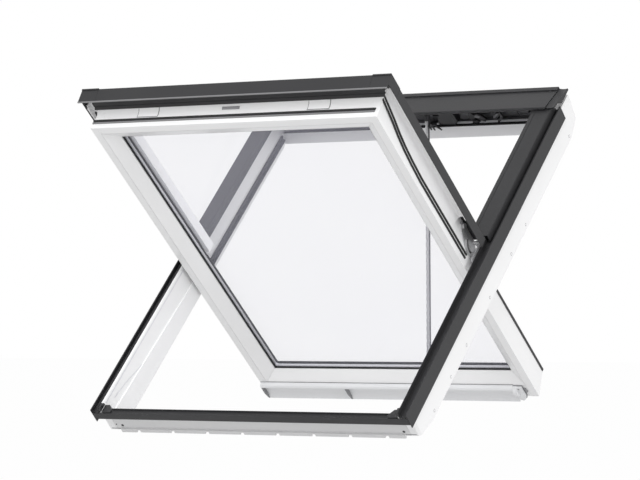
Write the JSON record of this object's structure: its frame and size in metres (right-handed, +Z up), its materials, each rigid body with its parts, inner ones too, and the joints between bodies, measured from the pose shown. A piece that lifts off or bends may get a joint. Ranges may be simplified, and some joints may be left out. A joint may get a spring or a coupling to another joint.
{
  "type": "centre pivot roof window",
  "caption": "Sloping roof window whose double glazed sash turns on side hinges at mid height, shown open, with sheet cladding and a chain operator.",
  "frame": {"origin": "On the outer face of the right frame side, level with the sash pivot and 60 mm below the outer edge of the cladding.", "axes": "+Z up, +X out of the right side, and +Y from the low side of the roof to the high side. The frame slopes up at 45 degrees towards +Y."},
  "size_m": [0.78, 0.7947, 0.7482],
  "materials": {
    "white_profile": "satin",
    "dark_cladding": "satin",
    "dark_plastic": "matte",
    "rubber": "matte",
    "glass": "polished",
    "spacer_metal": "satin",
    "hinge_steel": "brushed",
    "chain_steel": "satin",
    "bar_finish": "satin"
  },
  "bodies": {
    "frame": {"frame_side_right": "white_profile", "frame_side_left": "white_profile", "side_cladding_right": "dark_cladding", "side_cladding_left": "dark_cladding", "upper_cover_right": "dark_cladding", "upper_cover_left": "dark_cladding", "hood_end_right": "dark_plastic", "hood_end_left": "dark_plastic", "corner_block_right": "dark_plastic", "corner_block_left": "dark_plastic", "frame_gasket_right": "rubber", "frame_gasket_left": "rubber", "hinge_frame_right": "hinge_steel", "hinge_frame_left": "hinge_steel", "frame_sill": "white_profile", "frame_head": "white_profile", "sill_cladding": "dark_cladding", "hood": "dark_cladding", "head_gasket": "rubber", "operator_housing": "dark_plastic", "chain_outlet": "chain_steel"},
    "sash": {"sash_stile_right": "white_profile", "sash_stile_left": "white_profile", "sash_side_cover_right": "dark_cladding", "sash_side_cover_left": "dark_cladding", "cover_cap_right": "dark_plastic", "cover_cap_left": "dark_plastic", "upper_strip_right": "dark_cladding", "upper_strip_left": "dark_cladding", "hinge_sash_right": "hinge_steel", "hinge_sash_left": "hinge_steel", "sash_bottom_rail": "white_profile", "sash_top_rail": "white_profile", "sash_bottom_cover": "dark_cladding", "top_strip": "dark_cladding", "glass_inner": "glass", "glass_outer": "glass", "glass_spacer": "spacer_metal", "glazing_gasket": "rubber", "sash_seal": "rubber", "control_bar": "bar_finish", "bar_end_disc": "bar_finish", "chain_anchor": "chain_steel"},
    "chain": {"chain": "chain_steel"}
  },
  "joints": [
    {"name": "sash_pivot", "type": "hinge", "parent": "frame", "child": "sash", "pos_m": [-0.386, -0.05091, 0.05091], "axis": [1, 0, 0], "range_deg": [0, 85], "deforming": ["chain"]},
    {"name": "chain_swing", "type": "hinge", "parent": "frame", "child": "chain", "pos_m": [-0.334, 0.27045, 0.3652], "axis": [1, 0, 0], "range_deg": [0, 42.5]}
  ],
  "couplings": [
    {"joint": "chain_swing", "follows": "sash_pivot", "ratio": 0.5}
  ]
}
